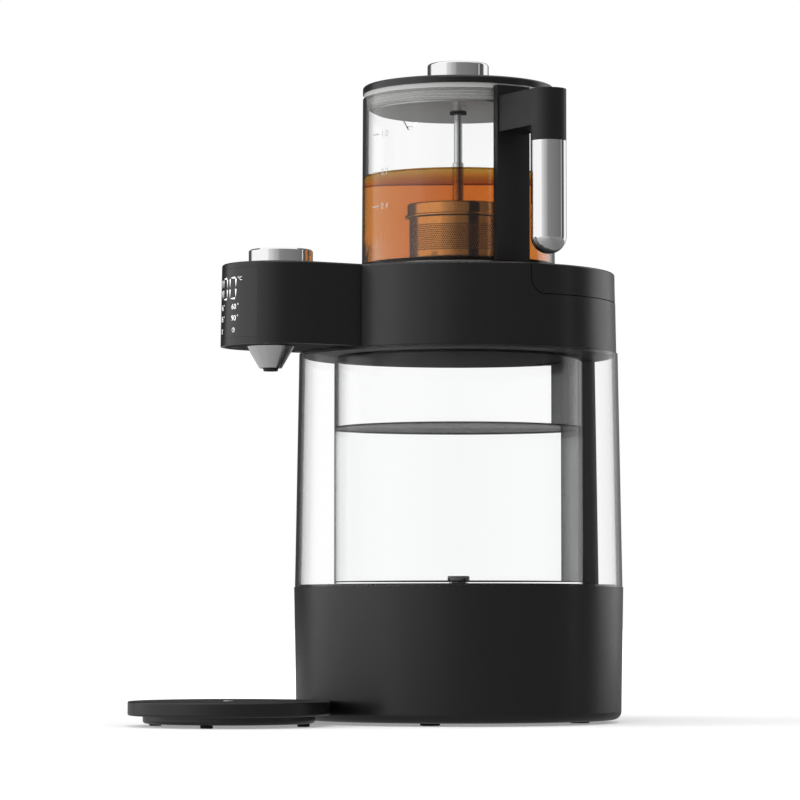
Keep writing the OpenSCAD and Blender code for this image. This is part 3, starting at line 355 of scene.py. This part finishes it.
dress(board_finish("mains_board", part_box("power_board")[0].z + 0.0068), "power_board")
dress(moulded("pump_housing", (0.05, 0.055, 0.065), 0.45), "water_pump")
dress(worked_metal("cast_aluminium", (0.6, 0.61, 0.62), 0.38, 0.15, 500, 0.02, stretch=(1, 1, 1)),
      "inline_heater")
dress(moulded("tube_silicone", (0.55, 0.58, 0.6), 0.42, grain=0.001, depth=0.01, uneven=0.05),
      "suction_tube", "pressure_tube", "riser_tube", "outlet_tube")

# ---- Tank ----
# A clear tapered outer shell stands on the base round a clear inner vessel, both injection moulded
# and polished. A dark spine closes the rear and hides the riser tube, a grey ring closes the top,
# and a gasket seals the foot.


def let_light_in(tree, skin, veil):
    # lamp light and light from matt pieces goes straight through, so that what stands inside is lit
    path = add_node(tree, "ShaderNodeLightPath").outputs
    soft_light = reckon(tree, "MAXIMUM", path["Is Shadow Ray"], path["Is Diffuse Ray"])
    return mix_shaders(tree, soft_light, skin, transparent(tree, (veil, veil, veil, 1)))


def clear(name, tint, edge, edge_shade_from, ior):
    # painted shade: the wall's colour is darkened where it is seen edge-on, in a soft and a hard
    # step, standing in for the dark edges of a thick clear wall
    material, tree, place = new_material(name)
    along = add_node(tree, "ShaderNodeLayerWeight", {"Blend": 0.5}).outputs["Facing"]
    near, far = (rescale(tree, along, edge_shade_from + low, edge_shade_from + high, 0, 1,
                         interpolation_type="SMOOTHSTEP") for low, high in ((-0.1, 0), (0, 0.04)))
    soft = mix_colours(tree, near, tint, tuple(c * 0.8 for c in tint))
    wipe, sink = noise(tree, place, 30.0, 6.0), noise(tree, place, 9.0, 1.0)
    surface = surface_of(tree, {
        "Base Color": mix_colours(tree, far, soft, edge), "IOR": ior, "Transmission Weight": 1.0,
        "Roughness": rescale(tree, wipe, 0.45, 0.8, 0.0, 0.012),
        "Normal": bump(tree, sink, 0.04, 0.0004)})
    put_on(tree, Surface=let_light_in(tree, surface, 0.95))
    return material


copolyester = (0.998, 0.999, 0.999)
# the grey colours are painted shade on each wall where it is seen edge-on
dress(clear("shell_copolyester", copolyester, (0.16, 0.16, 0.16), 0.79, ior=1.2), "tank_shell")
dress(clear("vessel_copolyester", copolyester, (0.2, 0.2, 0.2), 0.8, ior=1.2), "tank_vessel")
dress(foot_rubber, "tank_gasket")
# the grey ring is coloured near black, as painted shade where it sits under the housing
dress(moulded("ring_moulding_shade_darkened", (0.03, 0.03, 0.031), 0.42), "tank_ring")
dress(moulded("valve_moulding", (0.2, 0.2, 0.205), 0.3), "tank_valve")
dress(moulded("spine_moulding", (0.012, 0.012, 0.0125), 0.3, specular=0.9), "spine")


def poured(name, colour, ior, swell, level, top_shade, top_shade_veil, steeped=None):
    # seen from below, the liquid's top is painted darker as painted shade: a darkened glass mixed
    # half and half with a dark see-through veil that lets a little light through; steeped is the
    # colour and density of what is dissolved in it
    material, tree, place = new_material(name)
    side = surface_of(tree, {
        "Base Color": colour + (1,), "Roughness": 0.0, "IOR": ior, "Transmission Weight": 1.0,
        "Normal": bump(tree, noise(tree, place, swell, 1.0), 0.02, 0.0004)})
    height = add_node(tree, "ShaderNodeSeparateXYZ", {0: place}).outputs["Z"]
    on_top = reckon(tree, "GREATER_THAN", height, level - 0.0001)
    glassy = add_node(tree, "ShaderNodeBsdfGlass",
                      {"Color": top_shade + (1,), "Roughness": 0.02, "IOR": ior}).outputs[0]
    top = mix_shaders(tree, 0.5, glassy, transparent(tree, top_shade_veil + (1,)))
    layers = {"Surface": let_light_in(tree, mix_shaders(tree, on_top, side, top), 0.98)}
    if steeped:
        layers["Volume"] = add_node(tree, "ShaderNodeVolumeAbsorption", {
            "Color": steeped[0] + (1,), "Density": steeped[1]}).outputs[0]
    put_on(tree, **layers)
    return material


def turned_shape(bm, profile, steps):
    # a profile of radius and height is spun once round the upright axis
    made = [bm.verts.new((x, 0, z)) for x, z in profile]
    edges = [bm.edges.new(pair) for pair in zip(made, made[1:])]
    bmesh.ops.spin(bm, geom=made + edges, axis=(0, 0, 1), cent=(0, 0, 0), angle=math.tau,
                   steps=steps, use_merge=True)
    bmesh.ops.remove_doubles(bm, verts=bm.verts, dist=1e-6)
    bmesh.ops.recalc_face_normals(bm, faces=bm.faces)


def liquid(radius, low, level):
    # its top climbs the wall in a meniscus
    climb = 0.0012
    return lambda bm: turned_shape(bm, [
        (0, low), (radius, low), (radius, level + climb), (radius - 0.0004, level + climb * 0.55),
        (radius - 0.0011, level + climb * 0.2), (radius - 0.0022, level), (0, level)], 144)


def sharpen(made, angle):
    # edges that turn by more than the angle stay crisp
    made.data.set_sharp_from_angle(angle=math.radians(angle))


# The water stands a little over half way up the vessel.
water_r, water_foot, water_z = 0.08135, 0.0935, 0.1950
# its top is painted grey and darker, as painted shade seen from below
water_clear = poured("water", (0.985, 0.99, 0.99), 1.05, 14.0, water_z,
                     top_shade=(0.4, 0.4, 0.4), top_shade_veil=(0.24, 0.24, 0.24))
sharpen(new_mesh("water_body", liquid(water_r, water_foot, water_z), water_clear,
                 "machine"), 50)

# ---- Housing ----
# Drum and arm are one satin black moulding over a screwed bottom cover. The rear half of its top is
# a separate filler cover on runners, and a funnel below that leads the water into the vessel.
dress(satin_black, "housing_shell", "filler_cover")
dress(moulded("cover_underside", (0.004, 0.004, 0.0042), 0.62, grain=0.0006, depth=0.02,
              specular=0.2), "housing_cover", "fill_funnel")
dress(worked_metal("heater_plate_turned", (0.58, 0.585, 0.6), 0.28, 0.1, 260, 0.01,
                   turned_about=(0, 0)), "heater_plate")
dress(moulded("seal_silicone", (0.5, 0.5, 0.48), 0.5, grain=0.001, depth=0.02), "plate_seal")
dress(zinc, "heater_element", "temp_sensor", "dial_encoder")
dress(board_finish("control_board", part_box("control_board")[0].z + 0.0018), "control_board")

# ---- Dial ----
# A solid turned and polished metal knob on a keyed spindle. A thin gold-coloured ring is let into
# the knob's foot and turns with it.
arm_y = -0.1362
dress(worked_metal("polished_metal", (0.94, 0.94, 0.95), 0.05, 0.03, 500, 0.001,
                   turned_about=(0, arm_y)), "dial_knob")
dress(zinc, "dial_shaft")
dress(worked_metal("gold_anodised_ring", (0.85, 0.55, 0.2), 0.12, 0.05, 500, 0.001,
                   turned_about=(0, arm_y)), "dial_ring")

# ---- Display ----
# A smoked gloss window lies flush in the arm's round end. Segments and symbols cut through its mask
# are lit from behind: three large digits with a degree mark, four presets and two keys.
dress(moulded("smoked_window", (0.003, 0.003, 0.0034), 0.27, depth=0.004, specular=0.8),
      "display_window")
above_all = 9.0
dress(board_finish("display_board", parts_from=above_all), "display_board")

lit_white, tree, place = new_material("lit_segments")
put_on(tree, Surface=surface_of(tree, {
    "Base Color": (0.7, 0.7, 0.7, 1), "Roughness": 0.4, "Emission Color": white,
    "Emission Strength": rescale(tree, noise(tree, place, 700.0, 1.0), 0, 1, 0.75, 1.05)}))

arm_foot_r, arm_foot_z, arm_draft = 0.0391, 0.245, 1
art_proud = 0.00004


def arm_face(z):
    return arm_foot_r - (z - arm_foot_z) * math.tan(math.radians(arm_draft)) + art_proud


def along_arm(degrees, z):
    return math.radians(degrees) * arm_face(z)


def wrap(bm, radius_at, centre=(0, 0), cut_every=0.0012):
    # flat art in X and Z, with X in metres along the wall, is cut into strips and laid round the
    # front of an upright wall
    low = min(v.co.x for v in bm.verts)
    high = max(v.co.x for v in bm.verts)
    for step in range(1, int((high - low) / cut_every) + 1):
        bmesh.ops.bisect_plane(bm, geom=bm.verts[:] + bm.edges[:] + bm.faces[:], dist=1e-7,
                               plane_co=(low + step * cut_every, 0, 0), plane_no=(1, 0, 0))
    for vert in bm.verts:
        radius = radius_at(vert.co.z)
        angle = math.radians(-90) + vert.co.x / radius
        vert.co = (centre[0] + radius * math.cos(angle), centre[1] + radius * math.sin(angle),
                   vert.co.z)


digit_high, digit_wide, digit_middle = 0.0134, 0.0063, 0.28145
segment_thick, segment_gap = 0.0013, 0.0009
# each segment's middle, in widths and heights of a digit, and whether it stands upright
segments = {"a": (0, 0.5, False), "b": (0.5, 0.25, True), "c": (0.5, -0.25, True),
            "d": (0, -0.5, False), "e": (-0.5, -0.25, True), "f": (-0.5, 0.25, True)}


def segment(bm, x, z, length, upright):
    half_thick = segment_thick / 2
    for vert in bmesh.ops.create_circle(bm, cap_ends=True, segments=6, radius=0.5)["verts"]:
        tip = abs(vert.co.x) > 0.4
        across = 0 if tip else math.copysign(half_thick, vert.co.y)
        run = math.copysign(length / 2 if tip else length / 2 - half_thick, vert.co.x)
        vert.co = (x + across, 0, z + run) if upright else (x + run, 0, z + across)


def big_number(bm):
    for middle, lit in ((-22.2, "bc"), (-7.5, "abcdef"), (7.3, "abcdef")):
        x = along_arm(middle, digit_middle)
        for dx, dz, upright in (segments[mark] for mark in lit):
            length = (digit_high / 2 if upright else digit_wide) - segment_gap
            segment(bm, x + dx * digit_wide, digit_middle + dz * digit_high, length, upright)
    wrap(bm, arm_face, (0, arm_y))


new_mesh("display_number", big_number, lit_white, "machine", smooth=False)

stood_up = Matrix.Rotation(math.radians(90), 4, "X")


def lettering(bm, words, size, x, z):
    curve = bpy.data.curves.new("art", "FONT")
    curve.body, curve.size, curve.align_x = words, size, "CENTER"
    curve.resolution_u = 3
    holder = bpy.data.objects.new("art", curve)
    scene.collection.objects.link(holder)
    bpy.context.view_layer.update()
    shaped = holder.evaluated_get(bpy.context.evaluated_depsgraph_get())
    mesh = bpy.data.meshes.new_from_object(shaped)
    bpy.data.objects.remove(holder)
    bpy.data.curves.remove(curve)
    mesh.transform(Matrix.Translation((x, 0, z)) @ stood_up)
    bm.from_mesh(mesh)
    bpy.data.meshes.remove(mesh)


def ring_mark(bm, x, z, radius, thick):
    outer, inner = (bmesh.ops.create_circle(bm, segments=20, radius=r)["verts"]
                    for r in (radius, radius - thick))
    edges = {edge for vert in outer + inner for edge in vert.link_edges}
    bmesh.ops.bridge_loops(bm, edges=list(edges))
    bmesh.ops.transform(bm, matrix=Matrix.Translation((x, 0, z)) @ stood_up, verts=outer + inner)


def bar(bm, x, z, wide, high, tilt=0):
    made = bmesh.ops.create_grid(bm, x_segments=1, y_segments=1, size=0.5)["verts"]
    leaning = Matrix.Translation((x, 0, z)) @ Matrix.Rotation(math.radians(tilt), 4, "Y")
    bmesh.ops.transform(bm, matrix=leaning @ Matrix.Diagonal((wide, 1, high, 1)) @ stood_up,
                        verts=made)


# columns in degrees round the arm, heights of the rows, and sizes of figures, dots and lines
left_column, right_column = -15.4, 9.2
upper_row, lower_row, key_row = 0.2678, 0.2604, 0.2545
preset_size, unit_size = 0.0050, 0.0034
dot_r, dot_line, clock_r, thin_line = 0.00055, 0.0002, 0.0015, 0.0003


def small_marks(bm):
    # the degree mark and its unit
    ring_mark(bm, along_arm(15.7, 0.288), 0.2882, 0.0006, dot_line)
    lettering(bm, "C", unit_size, along_arm(18.7, 0.287), 0.2862)
    for words, at, z in (("45", left_column, upper_row), ("60", right_column, upper_row),
                         ("85", left_column, lower_row), ("90", right_column, lower_row)):
        lettering(bm, words, preset_size, along_arm(at, z), z)
        ring_mark(bm, along_arm(at + 6.0, z), z + 0.0031, dot_r, dot_line)
    # a clock with two hands
    clock = along_arm(right_column, key_row)
    ring_mark(bm, clock, 0.2544, clock_r, thin_line)
    bar(bm, clock, 0.2548, thin_line, 0.0010)
    bar(bm, clock + 0.0004, 0.2544, 0.0008, thin_line)
    # heat rising from a plate
    heat = along_arm(left_column, key_row)
    for step in (-1, 0, 1):
        bar(bm, heat + step * 0.0011, 0.2547, 0.00035, 0.0022, tilt=18)
    bar(bm, heat, 0.2530, 0.0036, 0.00035)
    wrap(bm, arm_face, (0, arm_y), cut_every=0.0008)


new_mesh("display_marks", small_marks, lit_white, "machine", smooth=False)

# ---- Spout ----
# A polished cone under the arm, drawn over the outlet tube, with a soft black tip that shapes the
# stream.
spout_y = -0.1436
dress(worked_metal("spout_polished", (0.92, 0.92, 0.93), 0.07, 0.04, 500, 0.001,
                   turned_about=(0, spout_y)), "spout_cone")
dress(matte_black, "spout_tip")

# ---- Pot ----
# The jug is blown glass on a metal base that takes the heat. Its handle is a moulded bracket along
# the glass with a polished grip hung under its arm. Volume marks are printed on the glass where it
# faces the front.
# the dark grey colour is painted shade on the glass where it is seen edge-on
dress(clear("pot_borosilicate", (0.99, 0.995, 0.99), (0.055, 0.055, 0.056), 0.735, ior=1.36),
      "pot_glass")
dress(worked_metal("pot_base_turned", (0.6, 0.6, 0.61), 0.3, 0.1, 300, 0.01, turned_about=(0, 0)),
      "pot_base")
dress(matte_black, "handle_bracket")
dress(worked_metal("grip_polished", (0.94, 0.94, 0.95), 0.06, 0.04, 300, 0.001,
                   stretch=(1, 1, 0.02)), "handle_grip")
dress(zinc, "handle_stud")

# Brewed tea fills the pot to just under the 0.7 mark.
tea_r, tea_foot, tea_z = 0.0624, 0.3050, 0.3625
# its top is painted darker and amber, as painted shade seen from below
tea_amber = poured("tea", (1, 0.98, 0.94), 1.333, 20.0, tea_z, top_shade=(0.6, 0.5, 0.3),
                   top_shade_veil=(0.7, 0.42, 0.08), steeped=((0.85, 0.52, 0.0), 35.0))
sharpen(new_mesh("tea_body", liquid(tea_r, tea_foot, tea_z), tea_amber, "pot"), 50)

mark_ink = moulded("mark_ink", (0.62, 0.62, 0.6), 0.6, grain=0.0003, depth=0.004, uneven=0.06)
glass_foot_r, glass_foot_z, glass_high = 0.0647, 0.2972, 0.1191
glass_narrows, ink_proud = 0.0007, 0.00005


def glass_face(z):
    return glass_foot_r - glass_narrows * (z - glass_foot_z) / glass_high + ink_proud


line_long, line_thick = 0.0078, 0.0009
figure_size, figure_right, figure_down = 0.0062, 0.0100, 0.0022


def volume_marks(bm):
    for words, z in (("1.0", 0.3888), ("0.7", 0.3635), ("0.4", 0.3408)):
        bar(bm, 0, z, line_long, line_thick)
        lettering(bm, words, figure_size, figure_right, z - figure_down)
    wrap(bm, glass_face, cut_every=0.0015)


new_mesh("volume_marks", volume_marks, mark_ink, "pot", smooth=False)

# ---- Lid and infuser ----
# A black lid over a ribbed silicone gasket and a pressed metal underside. The infuser hangs through
# a grommet on a steel rod from the polished knob: a drawn basket with a beaded cap.
dress(satin_black, "lid_disc")
dress(moulded("gasket_silicone", (0.62, 0.62, 0.61), 0.36, grain=0.001, depth=0.004, uneven=0.05),
      "lid_gasket")
dress(worked_metal("lid_pressing", (0.62, 0.62, 0.62), 0.3, 0.08, 300, 0.004, turned_about=(0, 0)),
      "lid_plate")
dress(foot_rubber, "rod_grommet")
dress(worked_metal("knob_polished", (0.94, 0.94, 0.95), 0.05, 0.03, 500, 0.001,
                   turned_about=(0, 0)), "lift_knob")
dress(worked_metal("rod_ground", (0.7, 0.7, 0.71), 0.12, 0.06, 400, 0.002, stretch=(1, 1, 0.02)),
      "lift_rod", "rod_collar")
pale_steel, drawn_grain = (0.95, 0.93, 0.89), (0.1, 0.1, 4)
dress(worked_metal("basket_drawn", pale_steel, 0.14, 0.05, 500, 0.003, stretch=drawn_grain),
      "basket_lid")

# The cup's wall is etched with a close band of holes about 0.8 mm wide, in staggered rows.
basket_low, basket_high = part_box("basket")
basket_r, foot_z, brim_z = basket_high.x, basket_low.z, basket_high.z
band_from, row_pitch, rows, holes_round = foot_z + 0.0056, 0.00127, 14, 118
etched, tree, place = new_material("basket_etched")
axes = add_node(tree, "ShaderNodeSeparateXYZ", {0: place}).outputs


def squared(value):
    return reckon(tree, "POWER", reckon(tree, "ABSOLUTE", value), 2.0)


def off_centre(value):
    return reckon(tree, "SUBTRACT", reckon(tree, "FRACT", value), 0.5)


# row counts up the wall and turned_by counts round it; every second row is half a hole further on
row = reckon(tree, "MULTIPLY", reckon(tree, "SUBTRACT", axes["Z"], band_from), 1 / row_pitch)
odd_row = reckon(tree, "FLOORED_MODULO", reckon(tree, "FLOOR", row), 2.0)
turned_by = reckon(tree, "MULTIPLY", reckon(tree, "ARCTAN2", axes["Y"], axes["X"]),
                   holes_round / math.tau)
across = off_centre(reckon(tree, "ADD", turned_by, reckon(tree, "MULTIPLY", odd_row, 0.5)))
up = reckon(tree, "MULTIPLY", off_centre(row), 0.86)
off_hole = reckon(tree, "SQRT", reckon(tree, "ADD", squared(across), squared(up)))
in_hole = rescale(tree, off_hole, 0.27, 0.36, 1.0, 0.0, interpolation_type="SMOOTHSTEP")
in_band = reckon(tree, "MULTIPLY", reckon(tree, "GREATER_THAN", row, 0.0),
                 reckon(tree, "LESS_THAN", row, rows))
out_from_axis = length_of(tree, add_node(
    tree, "ShaderNodeCombineXYZ", {0: axes["X"], 1: axes["Y"]}).outputs[0])
on_wall = reckon(tree, "GREATER_THAN", out_from_axis, basket_r - 0.0014)
hole = reckon(tree, "MULTIPLY", reckon(tree, "MULTIPLY", in_hole, in_band), on_wall)
solid = reckon(tree, "SUBTRACT", 1.0, hole)
drawn = add_node(tree, "ShaderNodeMapping", {"Vector": place, "Scale": drawn_grain}).outputs[0]
marks = noise(tree, drawn, 500.0, 3.0)
steel = mix_colours(tree, marks, (0.91, 0.89, 0.85), pale_steel)
# each hole is painted near black and not metallic, as painted shade for the dark inside of the cup
# seen through it
put_on(tree, Surface=surface_of(tree, {
    "Base Color": mix_colours(tree, hole, steel, (0.02, 0.015, 0.01)), "Metallic": solid,
    "Roughness": rescale(tree, marks, 0.3, 0.7, 0.15, 0.18),
    "Normal": bump(tree, solid, 0.5, 0.0002)}))


def drawn_cup(bm):
    wall, round_r, hub_r, bore_r = 0.0009, 0.002, 0.0048, 0.0029
    floor_z, inner_r = foot_z + wall, basket_r - wall
    corner = [(basket_r - round_r + round_r * math.sin(math.radians(step)),
               foot_z + round_r - round_r * math.cos(math.radians(step)))
              for step in range(0, 91, 15)]
    turned_shape(bm, [
        (0, foot_z), *corner, (basket_r, brim_z), (inner_r, brim_z), (inner_r, foot_z + 0.0023),
        (basket_r - 0.0013, foot_z + 0.0014), (basket_r - 0.0024, floor_z), (hub_r, floor_z),
        (hub_r, foot_z + 0.0042), (bore_r, foot_z + 0.0045), (bore_r, floor_z), (0, floor_z)], 96)


cup = new_mesh("basket_cup", drawn_cup, etched, "infuser")
sharpen(cup, 35)
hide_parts("basket")

# ---- Coaster ----
# A low moulded dish on four feet catches drips. Its thin top plate is drilled with fine holes and
# lifts out by the small bright button in its middle.
dress(satin_black, "coaster_tray")
drilled, tree, place = new_material("drilled_plate")
holes = add_node(tree, "ShaderNodeTexVoronoi",
                 {"Vector": place, "Scale": 420.0, "Randomness": 0.15},
                 voronoi_dimensions="2D").outputs["Distance"]
metal = rescale(tree, holes, 0.26, 0.34, 0, 1, interpolation_type="SMOOTHSTEP")
# each hole is painted near black against the dark plate, as painted shade for the dish seen through
# it
put_on(tree, Surface=surface_of(tree, {
    "Base Color": mix_colours(tree, metal, (0.002, 0.002, 0.002), (0.03, 0.03, 0.031)),
    "Roughness": 0.5, "Normal": bump(tree, metal, 0.8, 0.0004)}))
dress(drilled, "coaster_plate")
button_y = -0.17362
dress(worked_metal("button_polished", (0.85, 0.85, 0.86), 0.15, 0.04, 500, 0.001,
                   turned_about=(0, button_y)), "coaster_boss")
dress(foot_rubber, "coaster_feet")
